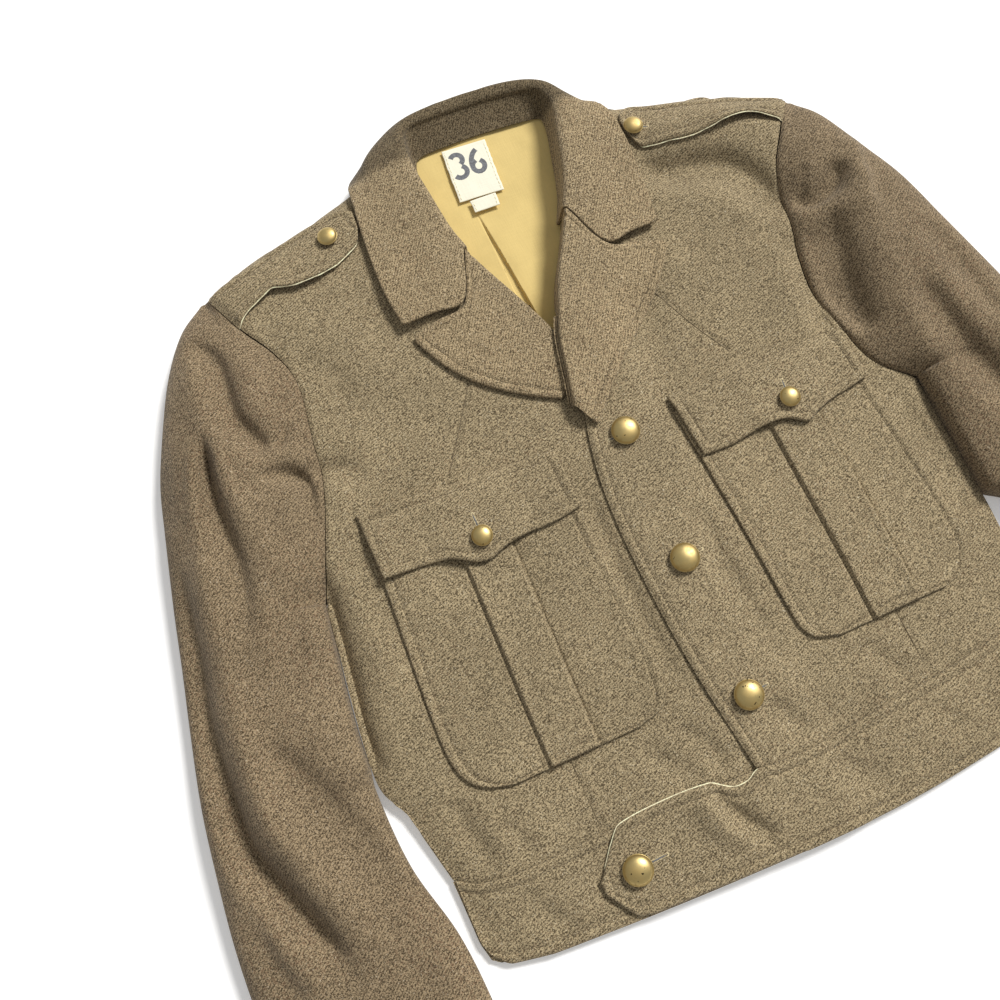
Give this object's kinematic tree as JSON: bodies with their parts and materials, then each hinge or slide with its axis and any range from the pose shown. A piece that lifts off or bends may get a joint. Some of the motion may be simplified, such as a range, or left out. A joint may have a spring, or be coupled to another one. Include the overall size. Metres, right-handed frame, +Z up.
{
  "type": "wool military jacket",
  "caption": "Short waisted wool uniform jacket laid flat and buttoned, with notched collar, box-pleated flap pockets, shoulder straps and a tabbed waistband.",
  "frame": {"origin": "middle of the footprint, on the surface that the back lies on", "axes": "+X to the wearer's left, +Y towards the collar, +Z up from the surface"},
  "size_m": [0.7682, 0.713, 0.038],
  "materials": {
    "wool": "heathered brown khaki wool serge with a short nap",
    "lining_cotton": "tan cotton twill lining",
    "label_cloth": "off-white woven cotton tape",
    "brass": "worn domed brass with darker rims"
  },
  "bodies": {
    "root": {"back": "wool", "waistband_back": "wool", "waistband_right": "wool", "waistband_left": "wool", "collar": "wool", "front_right": "wool", "top_sleeve_right": "wool", "under_sleeve_right": "wool", "lapel_right": "wool", "pocket_right": "wool", "flap_right": "wool", "shoulder_strap_right": "wool", "front_left": "wool", "top_sleeve_left": "wool", "under_sleeve_left": "wool", "lapel_left": "wool", "pocket_left": "wool", "flap_left": "wool", "shoulder_strap_left": "wool", "lining_back": "lining_cotton", "size_label": "label_cloth", "small_label": "label_cloth", "button_front_1": "brass", "button_front_2": "brass", "button_front_3": "brass", "button_tab": "brass", "button_pocket_right": "brass", "button_pocket_left": "brass", "button_strap_right": "brass", "button_strap_left": "brass"}
  },
  "joints": []
}
